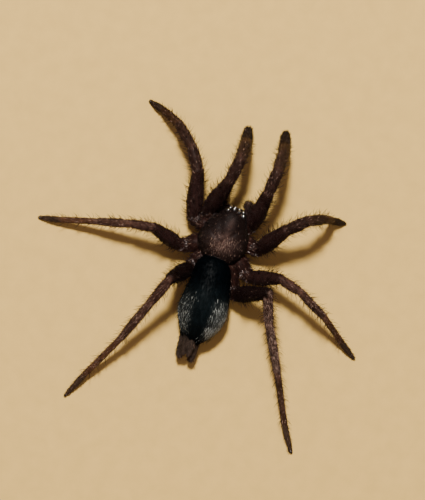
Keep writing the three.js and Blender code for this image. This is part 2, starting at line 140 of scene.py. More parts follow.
# Palps: lengths and radii of femur, patella, tibia and tarsus, then the bearings and pitches on each side
PALP_LENGTHS = (1.0, 0.5, 0.55, 0.9)
PALP_RADII = ((0.25, 0.33, 0.28), (0.28, 0.31, 0.28), (0.27, 0.31, 0.28), (0.28, 0.32, 0.16))
PALP_HIP = ((0.72, -3.3, 1.05), (0.26, 0.27, 0.25))
PALP_ROOT = (1.08, -3.75, 1.1)
PALPS = {
    "right": ((16, 16, 16, 16), (52, -5, -78, -86)),
    "left": ((12, 8, 2, -2), (30, -20, -60, -55)),
}

# Legs: lengths of femur, patella, tibia, metatarsus and tarsus, and radii of each segment from the coxa out
LEG_LENGTHS = {
    1: (4.1, 1.9, 2.4, 2.1, 1.2),
    2: (3.8, 1.8, 2.3, 2.1, 1.2),
    3: (3.1, 1.7, 2.8, 3.0, 1.6),
    4: (3.9, 2.4, 4.0, 4.2, 2.1),
}
SEGMENTS = ("coxa", "trochanter", "femur", "patella", "tibia", "metatarsus", "tarsus")
LEG_RADII = {
    1: ((0.48, 0.66, 0.58), (0.52, 0.57, 0.47), (0.46, 0.62, 0.45), (0.41, 0.45, 0.4),
        (0.38, 0.42, 0.37), (0.36, 0.38, 0.36), (0.35, 0.35, 0.26)),
    2: ((0.5, 0.68, 0.6), (0.53, 0.58, 0.48), (0.48, 0.63, 0.46), (0.4, 0.44, 0.39),
        (0.36, 0.39, 0.34), (0.32, 0.33, 0.3), (0.29, 0.28, 0.18)),
    3: ((0.5, 0.68, 0.6), (0.53, 0.57, 0.46), (0.44, 0.57, 0.42), (0.35, 0.37, 0.33),
        (0.3, 0.33, 0.27), (0.26, 0.26, 0.25), (0.24, 0.22, 0.15)),
    4: ((0.5, 0.68, 0.6), (0.54, 0.58, 0.49), (0.48, 0.62, 0.45), (0.36, 0.38, 0.34),
        (0.31, 0.34, 0.28), (0.26, 0.26, 0.25), (0.24, 0.22, 0.15)),
}
BULGE_AT = (0.7, 0.5, 0.4, 0.5, 0.5, 0.5, 0.5)
COXA_ROOTS = {1: (0.66, -2.9, 1.3), 2: (0.86, -2.22, 1.24), 3: (0.88, -1.4, 1.22), 4: (0.62, -0.72, 1.24)}
# Hip, then bearings and pitches of femur, patella, tibia, metatarsus, and the tarsus's bearing
LEGS = {
    ("left", 1): ((1.72, -3.42, 1.4), (-18, -7, 2, 6, 9), (49, 18, -61, -83)),
    ("left", 2): ((2.55, -2.64, 1.4), (13, 34, 49, 68, 75), (28, -5, -25, -42)),
    ("left", 3): ((2.66, -0.32, 1.35), (76, 100, 106, 107, 104), (40, -16, -23, -22)),
    ("left", 4): ((1.5, 1.02, 1.4), (139, 160, 160, 155, 157), (67, -26, -25, -22)),
    ("right", 1): ((-1.77, -3.42, 1.4), (-7, -3, 2, 8, 14), (49, 11, -55, -77)),
    ("right", 2): ((-2.84, -1.99, 1.4), (-35, -46, -64, -76, -83), (50, 16, -55, -74)),
    ("right", 3): ((-2.83, 0.16, 1.35), (-73, -103, -116, -125, -122), (41, 7, -18, -40)),
    ("right", 4): ((-2.22, 1.76, 1.4), (-67, -157, -150, -152, -147), (50, -27, -18, -18)),
}
TROCHANTER_LENGTH = 0.5
TOE_Z = 0.15
CLAW = {"length": 0.26, "spread": 12, "droop": 8, "start": -0.02, "radii": (0.05, 0.0325, 0.006)}
# How far along a claw its root, bend and tip lie, and how much each is raised
CLAW_BEND = ((0, 0.03), (0.55, 0.075), (1, -0.01))

# Limb segments: round caps, the narrow neck next to each end, and how rings crowd towards the ends
CAP = 0.75
CAP_POWER = 2.4
CAP_LEAST = 0.0009
NECK = {"share": 0.12, "place": 0.1, "width": (0.16, 0.03)}
CROWDING = 0.6
# The first ring of a body, in radians from its end, and the places along it that have an outline
FIRST_RING = 0.03
INNER = (0.004, 0.996)

# The coat's depth, by which the skin lies inside the solids, and the finest step of the skin
COAT_DEPTH = 0.045
SKIN_STEP = 0.055

# Cover of each part: its tint in linear light, its lying fur and its long standing hairs
# Fur: share of the full density, length, least and greatest lift in degrees, radius, share of pale hairs,
# which stand partly for painted glints
# Standing hairs: number to the square millimetre, length, and least and greatest lift
TINT, FUR, STANDING = 0, 1, 2
COVER = {
    "shield": ((0.0085, 0.0042, 0.0033), (0.95, 0.22, 8, 26, 0.01, 0.02), (3, 0.34, 30, 60)),
    "abdomen": ((0.0004, 0.0016, 0.0024), (1.0, 0.34, 5, 20, 0.011, 0.0), (22, 0.44, 22, 52)),
    "sternum": ((0.016, 0.007, 0.0048), (0.4, 0.16, 15, 40, 0.009, 0.02), (4, 0.25, 40, 70)),
    "coxa": ((0.023, 0.0085, 0.0063), (0.7, 0.26, 16, 48, 0.011, 0.06), (16, 0.5, 40, 75)),
    "trochanter": ((0.023, 0.0092, 0.0068), (0.7, 0.24, 16, 44, 0.011, 0.12), (16, 0.52, 40, 75)),
    "femur": ((0.021, 0.0086, 0.007), (0.85, 0.23, 8, 30, 0.0105, 0.008), (22, 0.62, 45, 80)),
    "patella": ((0.03, 0.0138, 0.0098), (0.78, 0.25, 14, 40, 0.011, 0.05), (22, 0.62, 45, 80)),
    "tibia": ((0.034, 0.0162, 0.0108), (0.82, 0.26, 14, 42, 0.011, 0.03), (22, 0.6, 45, 80)),
    "metatarsus": ((0.038, 0.0166, 0.0082), (0.88, 0.26, 18, 46, 0.011, 0.03), (20, 0.5, 45, 80)),
    "tarsus": ((0.024, 0.0138, 0.0084), (1.0, 0.3, 26, 60, 0.0115, 0.02), (16, 0.38, 40, 75)),
    "palp": ((0.02, 0.0097, 0.0073), (0.85, 0.3, 18, 50, 0.011, 0.03), (22, 0.42, 40, 75)),
    "jaw": ((0.01, 0.0038, 0.0026), (0.3, 0.22, 14, 40, 0.01, 0.02), (10, 0.4, 25, 60)),
    "mouth": ((0.024, 0.0105, 0.006), (0.4, 0.16, 20, 50, 0.009, 0.02), (5, 0.25, 30, 60)),
    "spinneret": ((0.047, 0.031, 0.0225), (0.9, 0.26, 12, 36, 0.011, 0.02), (22, 0.36, 30, 65)),
    "waist": ((0.01, 0.005, 0.004), (0.2, 0.12, 10, 20, 0.009, 0.0), (0, 0.2, 30, 60)),
}
# How much paler or darker a leg's segment is than its tint above
SHADES = {
    "leg_left_1": {"tarsus": 0.75},
    "leg_right_1": {"tarsus": 0.75},
    "leg_left_3": {"patella": 2.1, "tibia": 2.1, "metatarsus": 2.1, "tarsus": 2.3},
    "leg_right_3": {"patella": 2.1, "tibia": 1.6, "metatarsus": 1.5, "tarsus": 1.7},
    "leg_left_4": {"femur": 0.4, "patella": 2.0, "tibia": 2.0, "metatarsus": 2.1, "tarsus": 2.3},
    "leg_right_4": {"femur": 0.4, "patella": 1.4, "tibia": 1.3, "metatarsus": 1.1, "tarsus": 2.4},
}

# Pale down on the shield: a patch round the furrow and a line to the eyes, both on the upper side
SHIELD_DOWN = (0.062, 0.034, 0.027)
DOWN_PATCH = {"x": (-0.1, 0.9), "y": (-1.5, 0.78), "share": 0.9}
DOWN_LINE = {"x": (-0.03, 0.22), "front": (-3.9, -3.2), "rear": (-0.6, -1.4), "share": 0.45}
DOWN_ABOVE = (1.9, 2.4)
DOWN_HAIRS = {"most": 0.46, "scale": 4.5, "edges": (0.2, 0.75)}

# Silver silk and painted sheen on the abdomen's flanks, between shares of its length, outwards and upwards;
# the spider's left flank gets a smaller share, as less sheen is painted there
ABDOMEN_SILK_SHEEN = (0.078, 0.084, 0.077)
SILK_SHEEN = {"front": (0.36, 0.66), "rear": (0.98, 0.78), "out": (0.22, 0.85), "up": (-0.3, 0.15), "left": 0.4}
# The silver hairs gather in streaks, finer across the abdomen than along it
SILK_SHEEN_GRAIN = np.array([1.5, 0.45, 1.5])
SILK_SHEEN_HAIRS = {"most": 0.95, "scale": 6.0, "edges": (-0.4, 0.8)}
SPECKLE_WAVES = 7
# A painted sheen, paler and a little bluer, laid over the middle and rear of the black abdomen
ABDOMEN_PAINTED_SHEEN = (0.005, 0.0084, 0.0096)
PAINTED_SHEEN_SPAN = {"front": (0.2, 0.5), "rear": (0.98, 0.75)}
ABDOMEN_BELOW = (0.01, 0.0075, 0.006)
BELOW = (-0.35, -0.8)
SPINNERET_BASE = (0.5, 0.0)

# Paler joints, partly the joints' own paler skin and partly a painted highlight on their upper side: how
# pale the start of each segment is, and where that fades out
JOINT_PALE_AND_HIGHLIGHT = (0.13, 0.062, 0.042)
FRONT_JOINTS = 0.3
JOINT_PALE_AND_HIGHLIGHT_SHARE = {"femur": 0.35, "patella": 0.2, "tibia": 0.5, "metatarsus": 0.75}
JOINT_REACH = (0.16, 0.0)
JOINT_HIGHLIGHT_UP = (-0.3, 0.5)
# Pale hairs, partly real and partly painted glints, and silver hairs, partly silk and partly painted sheen
PALE_AND_GLINT_HAIR = (0.36, 0.23, 0.175)
SILVER_SHEEN_HAIR = (0.55, 0.58, 0.53)
PALE_WIDTH = 1.35
# Extra share of pale hairs on the upper side of segments of the rear legs, most on the right leg of the last
# pair: partly real pale hairs, partly painted glints
PALE_GLINT_SHINS = {
    "leg_left_3": {"tibia": 0.12, "metatarsus": 0.12},
    "leg_right_3": {"tibia": 0.12, "metatarsus": 0.12},
    "leg_left_4": {"patella": 0.1, "tibia": 0.14, "metatarsus": 0.12},
    "leg_right_4": {"patella": 0.45, "tibia": 0.5, "metatarsus": 0.12},
}
SHIN_GLINT_UP = (-0.5, 0.3)

# Hairs: seed, number to the square millimetre, size of a tuft on the map and depth of the root
HAIR_SEED = 20251
HAIR_DENSITY = 430
PATCH = 0.003
ROOT_DEPTH = 0.02
STRIP_ENDS = (0.02, 0.98)
REAR_PAIRS = ("3", "4")
# Which way hair lies on the body, and how far it fans out on the shield
SHIELD_LIE = (0.0, 1.0, 0.0)
SHIELD_FAN = 0.22
ABDOMEN_LIE = (-0.06, 1.0, -0.1)
STERNUM_LIE = (0.0, -1.0, 0.0)
FUR_DRAWS = {
    "shade": 0.4, "glow": (0.3, 1.4), "stray": 0.16, "length": (0.7, 1.3), "bend": (0, 14),
    "radius": (0.8, 1.2),
}
# How much shorter and flatter the fur is on the thin ends of the legs, by pair
REAR_TRIM = {"patella": 0.95, "tibia": 0.9, "metatarsus": 0.7, "tarsus": 0.7}
FUR_TRIM = {"2": {"metatarsus": 0.75, "tarsus": 0.6}, "3": REAR_TRIM, "4": REAR_TRIM}
STANDING_DRAWS = {
    "shade": (0.3, 1.0), "stray": 0.25, "length": (0.6, 1.5), "bend": (10, 40), "radius": (0.0116, 0.0174),
}
STANDING_LEAST_Z = 0.2
# How far the tips of hairs may pass the solids' box, as a share of each side, and the least height of a tip
TIP_SHARE = 0.022
TIP_FLOOR = 0.005
LEAST_REACH = 0.15
NO_REACH = 1e-6
# Spines: where they stand along each segment, and round it in degrees from the side
SPINE = {"length": 0.72, "radius": 0.024, "lift": 50, "bend": 14, "colour": (0.006, 0.004, 0.0035)}
SPINE_PLACES = {
    "femur": [(0.3, 40), (0.42, 120), (0.52, 62), (0.66, 145), (0.72, 30), (0.85, 75)],
    "tibia": [(0.25, 20), (0.3, 160), (0.55, 60), (0.6, 205), (0.62, -25), (0.9, 20), (0.9, 160)],
    "metatarsus": [(0.15, 25), (0.2, 155), (0.45, 60), (0.5, 200), (0.55, -20), (0.88, 35), (0.88, 145)],
}
FRONT_SPINE_PLACES = {"femur": [(0.4, 90), (0.66, 80)], "tibia": [(0.55, -60)]}
# Dark tufts round the claws, by pair: number of hairs, length and spread
TOE_TUFTS = {1: (150, 0.26, 1.0), 2: (80, 0.19, 0.9), 3: (50, 0.18, 1.0), 4: (50, 0.19, 1.0)}
TOE_TUFT = {
    "colour": (0.011, 0.008, 0.0055), "shade": (0.6, 2.0), "power": 1, "length": (0.7, 1.2),
    "lift": (35, 75), "bend": 12, "radius": 0.012, "strip": 0.985, "spread": (0.2, 0.95),
    "forward": 0.8, "stray": 0.2, "droop": (0, 0, 0.2), "dome": (0.55, 0.5),
}
# Pale tufts over the first joints of each leg, mostly on their upper side: painted glints, where the light
# shone off the joints' skin
JOINT_GLINT_TUFT = {
    "colour": (0.85, 0.72, 0.7), "shade": (0.1, 1.0), "power": 3, "length": (0.6, 1.2), "lift": (5, 35),
    "bend": 10, "radius": 0.025, "strip": 0.03, "joints": (1, 2), "count": 20, "size": 0.16,
    "turn": (80, 28), "reach": 0.15, "proud": 0.03, "stray": 0.5,
}

# A hair's faces: a bent cone of three sides from a ring at the root over one at its middle to the tip
HAIR_FACES = np.array([
    [0, 3, 4], [0, 4, 1], [1, 4, 5], [1, 5, 2], [2, 5, 3], [2, 3, 0],
    [3, 6, 4], [4, 6, 5], [5, 6, 3], [0, 1, 2],
])
HAIR_CORNERS = 7
MIDDLE_RADIUS = 0.75
MIDDLE_PATCH = 0.6

# Materials of skin and hair: roughness, specular, scale, least and greatest share of the tint, and bumps
TINTED = {
    "cuticle": (0.5, 0.08, 2600.0, 0.5, 1.3, ((2200.0, 0.00003), (14000.0, 0.000008))),
    "hair": (0.42, 0.14, 1500.0, 0.7, 1.3),
    "dark_hair": (0.6, 0.02, 1500.0, 0.7, 1.3),
}
# Materials of one colour: colour, roughness, clear coat and its index, specular, scale, spread and bump
# The eyes mirror strongly, as eyes with a bright layer behind the lens do
PLAIN = {
    "eye_dark": ((0.003, 0.003, 0.004), 0.12, 1.0, 2.6),
    "eye_pale": ((0.022, 0.024, 0.022), 0.12, 1.0, 2.6),
    "horn": ((0.02, 0.0055, 0.0032), 0.2, 0.5),
    "claw": ((0.008, 0.0045, 0.0035), 0.25),
    "spigot": ((0.09, 0.045, 0.025), 0.35),
    "floor": ((0.7, 0.455, 0.125), 0.8, 0.0, 1.5, 0.2, 900.0, 0.04, 0.00002),
}
COAT_ROUGHNESS = 0.06
NOISE_RANGE = (0.3, 0.7)
BUMP_STRENGTH = 0.8

# Camera: straight above, turned so that the head points to the upper right, with the photograph's framing
IMAGE_SIZE = (425, 500)
MM_PER_PIXEL = 0.0745
WAIST_PIXEL = (213, 262)
BODY_TILT = 20
CAMERA_HEIGHT = 250
SENSOR = 24

# Lamps: bearing from the top of the picture and height in degrees, distance, size, power and colour
LAMPS = {
    "key": (-5, 65, 0.32, 0.035, 1.96, (1.0, 0.96, 0.9)),
    "fill": (140, 55, 0.4, 0.3, 0.12, (1.0, 0.85, 0.7)),
}
LAMP_AIM_Z = 0.002
SKY_COLOUR = (1.0, 0.78, 0.95)
SKY_STRENGTH = 0.19

# Floor
FLOOR_HALF = 2


# Small helpers

def point(values, side=1):
    return np.array([values[0] * side, values[1], values[2]], float)


def along(stations, s):
    """A smooth value between stations, each (place, value), with no corner at any."""
    places, values = np.array(stations, float).T
    k = np.arange(len(places))
    before, after = np.maximum(k - 1, 0), np.minimum(k + 1, len(k) - 1)
    slope = (values[after] - values[before]) / (places[after] - places[before])
    s = np.asarray(s, float)
    i = np.clip(np.searchsorted(places, s, side="left"), 1, len(places) - 1)
    span = places[i] - places[i - 1]
    t = np.clip((s - places[i - 1]) / span, 0, 1)
    ease = t * t * (3 - 2 * t)
    lead = slope[i - 1] * t * (1 - t) ** 2 - slope[i] * t * t * (1 - t)
    return values[i - 1] + (values[i] - values[i - 1]) * ease + span * lead


def heading(bearing, pitch):
    b, p = math.radians(bearing), math.radians(pitch)
    return np.array([math.sin(b) * math.cos(p), -math.cos(b) * math.cos(p), math.sin(p)])


def unit(v):
    v = np.asarray(v, float)
    return v / np.maximum(np.linalg.norm(v, axis=-1, keepdims=True), TINY)


def smooth(low, high, v):
    t = np.clip((np.asarray(v, float) - low) / (high - low), 0, 1)
    return t * t * (3 - 2 * t)


def window(v, edges):
    return smooth(*edges["front"], v) * smooth(*edges["rear"], v)


def bell(v, middle, width):
    return np.exp(-((v - middle) / width) ** 2)


def squared(v, power):
    return np.sign(v) * np.abs(v) ** power


def turned(p, degrees=HEAD_TURN):
    """Points or directions turned about the waist, as the front of the body is."""
    a = math.radians(degrees)
    p = np.asarray(p, float)
    x = p[..., 0] * math.cos(a) - p[..., 1] * math.sin(a)
    y = p[..., 0] * math.sin(a) + p[..., 1] * math.cos(a)
    return np.stack([x, y, p[..., 2]], -1)


def on_front(values, side=1):
    return turned(point(values, side))


def across_of(direction):
    """Two directions square to the given one, the second as near to straight up as it goes."""
    d = unit(direction)
    side = unit(np.cross(d, [0, 0, 1]))
    return side, np.cross(side, d)


def turns(sides):
    return np.linspace(0, 2 * np.pi, sides, endpoint=False)


def around(turn, side, up):
    return np.cos(turn)[..., None] * side + np.sin(turn)[..., None] * up


def placed(name, data):
    obj = bpy.data.objects.new(name, data)
    bpy.context.scene.collection.objects.link(obj)
    return obj


# Meshes

def mesh_object(name, verts, faces, in_place=False):
    """A mesh object from vertices in millimetres, or as they are, and groups of faces of one size each."""
    if not in_place:
        verts = verts * MM + SHIFT
    mesh = bpy.data.meshes.new(name)
    mesh.vertices.add(len(verts))
    mesh.vertices.foreach_set("co", verts.astype(np.float32).ravel())
    sizes = np.concatenate([np.full(len(group), group.shape[1]) for group in faces])
    loops = np.concatenate([group.ravel() for group in faces]).astype(np.int32)
    mesh.loops.add(len(loops))
    mesh.loops.foreach_set("vertex_index", loops)
    mesh.polygons.add(len(sizes))
    starts = np.concatenate([[0], np.cumsum(sizes)[:-1]]).astype(np.int32)
    mesh.polygons.foreach_set("loop_start", starts)
    mesh.update(calc_edges=True)
    mesh.validate()
    return placed(name, mesh)


def joined(name, pieces, in_place=False):
    """One mesh object from several closed pieces, each vertices and groups of faces."""
    count = 0
    faces = {3: [], 4: []}
    for verts, groups in pieces:
        for group in groups:
            faces[group.shape[1]].append(group + count)
        count += len(verts)
    groups = [np.concatenate(group) for group in faces.values()]
    return mesh_object(name, np.concatenate([verts for verts, _groups in pieces]), groups, in_place)


def finish_piece(obj, material, replaced=()):
    mesh = obj.data
    mesh.polygons.foreach_set("use_smooth", np.ones(len(mesh.polygons), bool))
    mesh.update()
    mesh.materials.append(material)
    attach(obj, "root")
    if replaced:
        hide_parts(*replaced)


def closed_grid(points):
    """Vertices and faces of a closed body from an array of rings, with each end shut by a fan."""
    rings, sides = points.shape[:2]
    verts = np.concatenate([points.reshape(-1, 3), points[0].mean(0)[None], points[-1].mean(0)[None]])
    k = np.arange(sides)
    n = (k + 1) % sides
    band = np.stack([k, n, n + sides, k + sides], -1)
    quads = (band + np.arange(rings - 1)[:, None, None] * sides).reshape(-1, 4)
    last = (rings - 1) * sides
    low = np.stack([n, k, np.full(sides, rings * sides)], -1)
    high = np.stack([k + last, n + last, np.full(sides, rings * sides + 1)], -1)
    return verts, [quads, low, high]


def limb_points(a, b, radii, bulge_at, rings=34, sides=24):
    """Rings of a rounded limb segment from a to b, a little drawn in next to each end."""
    start, middle, end = [r - COAT_DEPTH for r in radii]
    length = np.linalg.norm(b - a)
    axis = (b - a) / length
    side, up = across_of(axis)
    cap0, cap1 = start * CAP, end * CAP
    t = np.linspace(0, 1, rings)
    t = t - np.sin(2 * np.pi * t) / (2 * np.pi) * CROWDING
    place = -cap0 + t * (length + cap0 + cap1)
    stations = [
        (0, start), (bulge_at / 2, (start + 2 * middle) / 3), (bulge_at, middle),
        ((1 + bulge_at) / 2, (middle + end) / 2), (1, end),
    ]
    radius = along(stations, np.clip(place / length, 0, 1))
    share, least = NECK["width"]
    near0 = bell(place, start * NECK["place"], share * start + least)
    near1 = bell(place - length, -end * NECK["place"], share * end + least)
    radius = radius * (1 - NECK["share"] * np.maximum(near0, near1))
    low, high = np.clip(-place / cap0, 0, 1), np.clip((place - length) / cap1, 0, 1)
    radius = radius * np.sqrt(np.maximum(1 - np.maximum(low, high) ** CAP_POWER, CAP_LEAST))
    return a + place[:, None, None] * axis + radius[:, None, None] * around(turns(sides), side, up)


# Body forms

def outline_at(s, form, inset=COAT_DEPTH):
    """Half width, rise and depth of the shield or the abdomen at places along it."""
    tables, bluntness = form
    s = np.asarray(s, float)
    power = np.where(s < 0.5, *bluntness)
    full = np.maximum(1 - np.abs(2 * s - 1) ** power, 0) ** (1 / power)
    return [along(table, s) * full - inset for table in tables]


def rings_of(form, rings, sides):
    """Places along a body, close together at its ends, angles round it, and its outline there."""
    s = (1 - np.cos(np.linspace(FIRST_RING, np.pi - FIRST_RING, rings))) / 2
    return s, turns(sides), [v[:, None] for v in outline_at(s, form)]


def shield_furrows(x, y):
    """Depth of the furrow in the middle of the shield's back and of the grooves that fan out from it."""
    dy = y - FOVEA["y"]
    ends = 1 - smooth(*FOVEA["ends"], np.abs(dy) / FOVEA["length"])
    dent = FOVEA["depth"] * bell(x, 0, FOVEA["width"]) * ends
    away = np.hypot(x, dy)
    angle = np.degrees(np.arctan2(np.abs(x), -dy))
    begin, end = GROOVES_REACH
    reach = smooth(*begin, away) * (1 - smooth(*end, away))
    for i in range(GROOVES["count"]):
        middle = GROOVES["first"] + i * GROOVES["step"]
        dent = dent + GROOVES["depth"] * reach * bell(angle, middle, GROOVES["width"])
    neck = bell(away, NECK_GROOVE["away"], NECK_GROOVE["width"])
    neck = neck * smooth(*NECK_GROOVE["front"], angle) * smooth(*NECK_GROOVE["rear"], angle)
    return dent + NECK_GROOVE["depth"] * neck


def cephalothorax():
    s, turn, (w, up, down) = rings_of(SHIELD_FORM, 90, 96)
    low = SHIELD_REAR_Y - COAT_DEPTH
    high = SHIELD_FRONT_Y + COAT_DEPTH
    y = (low + (high - low) * s)[:, None] + 0 * turn
    x = w * squared(np.cos(turn), SHIELD_SQUARENESS)
    z = MARGIN_Z + np.where(np.sin(turn) > 0, up, down) * squared(np.sin(turn), SHIELD_SQUARENESS)
    z = z - shield_furrows(x, y) * (np.sin(turn) > FURROWS_ABOVE)
    x = x + np.sign(x) * RIM_OUT * bell(np.sin(turn), *RIM)
    return closed_grid(turned(np.stack([x, y, z], -1)))


def abdomen_axis(s):
    x = ABDOMEN_FRONT[0] + (ABDOMEN_REAR[0] - ABDOMEN_FRONT[0]) * s + ABDOMEN_BOW * np.sin(np.pi * s)
    y = ABDOMEN_FRONT[1] + (ABDOMEN_REAR[1] - ABDOMEN_FRONT[1]) * s
    return x, y, along(ABDOMEN_MID_Z, s)


def abdomen():
    s, turn, (w, up, down) = rings_of(ABDOMEN_FORM, 110, 96)
    cx, cy, cz = [v[:, None] for v in abdomen_axis(s)]
    x = cx + w * np.cos(turn)
    y = cy + 0 * turn
    z = cz + np.where(np.sin(turn) > 0, up, down) * np.sin(turn)
    s = s[:, None]
    on_top = smooth(*DIMPLE["up"], np.sin(turn))
    for place, apart in DIMPLES:
        near = DIMPLE["depth"] * on_top * bell(s, place, DIMPLE["length"])
        z = z - near * bell(np.abs(x - cx), apart, DIMPLE["width"])
    z = z + FOLD["depth"] * (bell(s, FOLD["place"], FOLD["width"]) * smooth(*FOLD["down"], np.sin(turn)))
    return closed_grid(np.stack([x, y, z], -1))


def sternum():
    lat = np.linspace(2 * FIRST_RING, np.pi - 2 * FIRST_RING, 26)[:, None]
    turn = turns(40)
    x = (STERNUM["half_width"] - COAT_DEPTH) * np.sin(lat) * np.cos(turn)
    y = STERNUM["y"] + (STERNUM["half_length"] - COAT_DEPTH) * np.sin(lat) * np.sin(turn)
    z = STERNUM["z"] - STERNUM["half_height"] * np.cos(lat) + 0 * turn
    return closed_grid(turned(np.stack([x, y, z], -1)))


def inside_shield(p):
    s = (p[1] - SHIELD_REAR_Y) / (SHIELD_FRONT_Y - SHIELD_REAR_Y)
    if s <= 0 or s >= 1:
        return False
    w, up, down = outline_at(s, SHIELD_FORM, 0)
    h = up if p[2] > MARGIN_Z else down
    return abs(p[0] / w) ** SHIELD_POWER + abs((p[2] - MARGIN_Z) / h) ** SHIELD_POWER < 1


def on_head(way):
    near, far = 0.0, 3.0
    for _step in range(30):
        mid = (near + far) / 2
        if inside_shield(np.array(HEAD_CENTRE) + way * mid):
            near = mid
        else:
            far = mid
    return np.array(HEAD_CENTRE) + way * near


def eye_centre(kind, side):
    """Where an eye's middle lies and which way it looks."""
    bearing, height, _radius = EYES[kind]
    way = heading(bearing * side, height)
    return turned(on_head(way) + way * EYE_PROUD), turned(way)


def shift():
    """Where the spider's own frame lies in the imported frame, found from one of the eyes, in metres."""
    low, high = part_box("eye_posterior_median_left")
    centre, _way = eye_centre("posterior_median", 1)
    return np.array([(low.x + high.x) / 2, (low.y + high.y) / 2, 0.0]) - centre * [MM, MM, 0]


SHIFT = shift()


def leg_points(side_name, pair):
    hip, bearings, pitches = LEGS[(side_name, pair)]
    root = on_front(COXA_ROOTS[pair], SIDES[side_name])
    end = point(hip)
    points = [root, end - unit(end - root) * TROCHANTER_LENGTH, end]
    for i, length in enumerate(LEG_LENGTHS[pair]):
        start = points[-1]
        pitch = pitches[i] if i < 4 else -math.degrees(math.asin((start[2] - TOE_Z) / length))
        points.append(start + heading(bearings[i], pitch) * length)
    return points


def palp_points(side_name):
    side = SIDES[side_name]
    points = [on_front(PALP_HIP[0], side), on_front(PALP_ROOT, side)]
    for length, bearing, pitch in zip(PALP_LENGTHS, *PALPS[side_name]):
        points.append(points[-1] + heading(bearing, pitch) * length)
    return points


def spinneret_ends(kind, side):
    x0, y0 = ABDOMEN_REAR
    z0 = float(along(ABDOMEN_MID_Z, 1))
    ends = []
    for across, back, up in SPINNERETS[kind][:2]:
        x = x0 + SPINNERET_SHIFT + across * side - back * SPINNERET_LEAN
        ends.append(np.array([x, y0 + back, z0 + up]))
    return ends


def limbs():
    """Every round segment as (coat piece, kind, start, end, radii, bulge place)."""
    found = []
    for side_name, pair in LEGS:
        p = leg_points(side_name, pair)
        for i, kind in enumerate(SEGMENTS):
            found.append((f"leg_{side_name}_{pair}", kind, p[i], p[i + 1], LEG_RADII[pair][i], BULGE_AT[i]))
    for side_name, side in SIDES.items():
        p = palp_points(side_name)
        for i, radii in enumerate((PALP_HIP[1],) + PALP_RADII):
            found.append(("small_parts", "palp", p[i], p[i + 1], radii, 0.5))
        for kind, (a, b, radii), bulge_at in (("mouth", MAXILLA, 0.5), ("jaw", CHELICERA, 0.45)):
            found.append(("small_parts", kind, on_front(a, side), on_front(b, side), radii, bulge_at))
        for kind, (_root, _tip, (r0, r1)) in SPINNERETS.items():
            found.append(("small_parts", "spinneret", *spinneret_ends(kind, side), (r0, r0, r1), 0.5))
    found.append(("small_parts", "mouth", on_front(LABIUM[0]), on_front(LABIUM[1]), LABIUM[2], 0.5))
    found.append(("small_parts", "waist", point(PEDICEL[0]), point(PEDICEL[1]), (PEDICEL[2],) * 3, 0.5))
    return found


LIMBS = limbs()


def radius_at(k, far):
    """The solid's radius at places along a limb segment, less the depth of the coat."""
    radii, bulge_at = LIMBS[k][4:]
    return along([(0, radii[0]), (bulge_at, radii[1]), (1, radii[2])], far) - COAT_DEPTH


def mesh_points(mesh, what="co"):
    values = np.empty(len(mesh.vertices) * 3, np.float32)
    mesh.vertices.foreach_get(what, values)
    return values.reshape(-1, 3)


def build_skin():
    """The closed skin of the whole animal, fused by a voxel remesh in millimetres and then set in metres."""
    segments = [closed_grid(limb_points(*segment)) for _piece, _kind, *segment in LIMBS]
    skin = joined("skin", [cephalothorax(), abdomen(), sternum()] + segments, in_place=True)
    remesh = skin.modifiers.new("fuse", "REMESH")
    remesh.mode = "VOXEL"
    remesh.voxel_size = SKIN_STEP
    relax = skin.modifiers.new("relax", "SMOOTH")
    relax.factor = 0.5
    relax.iterations = 2
    bpy.context.view_layer.update()
    fused = bpy.data.meshes.new_from_object(skin.evaluated_get(bpy.context.evaluated_depsgraph_get()))
    skin.modifiers.clear()
    skin.data = fused
    co = mesh_points(fused)
    co[:, 2] = np.maximum(co[:, 2], 0.0)
    fused.vertices.foreach_set("co", (co * MM + SHIFT).astype(np.float32).ravel())
    return skin


# Which part of the body a point lies on: a limb's place in LIMBS, or one of these

SHIELD, ABDOMEN, STERNUM_PLATE = -1, -2, -3
KINDS = ["shield", "abdomen", "sternum"] + [kind for _piece, kind, *_rest in LIMBS]
OWNERS = ["shield", "abdomen", "shield"] + [piece for piece, *_rest in LIMBS]
TRIM = np.array([1.0] * 3 + [
    FUR_TRIM.get(piece[-1], {}).get(kind, 1.0) for piece, kind, *_rest in LIMBS
])
SHIN_GLINT_SHARE = np.array([0.0] * 3 + [
    PALE_GLINT_SHINS.get(piece, {}).get(kind, 0.0) for piece, kind, *_rest in LIMBS
])


def kind_places(part):
    """Where a part stands in the four lists above."""
    return np.where(part < 0, -part - 1, part + 3)


def body_place(dx, dz, s, form, power, length):
    """How far points lie off a body, how far along it they are, and the angle round it."""
    w, up, down = [np.maximum(v, 0.02) for v in outline_at(np.clip(s, *INNER), form)]
    h = np.where(dz > 0, up, down)
    r = (np.abs(dx / w) ** power + np.abs(dz / h) ** power) ** (1 / power)
    off = np.maximum(r - 1, 0) * np.minimum(w, h) + np.maximum(np.abs(s - 0.5) - 0.5, 0) * length
    return off, np.clip(s, 0, 1), np.arctan2(dz / h, dx / w)


def shield_place(p):
    p = turned(p, -HEAD_TURN)
    s = (p[:, 1] - SHIELD_REAR_Y) / (SHIELD_FRONT_Y - SHIELD_REAR_Y)
    return body_place(p[:, 0], p[:, 2] - MARGIN_Z, s, SHIELD_FORM, SHIELD_POWER, 4.5)


def abdomen_place(p):
    s = (p[:, 1] - ABDOMEN_FRONT[1]) / (ABDOMEN_REAR[1] - ABDOMEN_FRONT[1])
    cx, _cy, cz = abdomen_axis(np.clip(s, *INNER))
    return body_place(p[:, 0] - cx, p[:, 2] - cz, s, ABDOMEN_FORM, 2, 6.5)


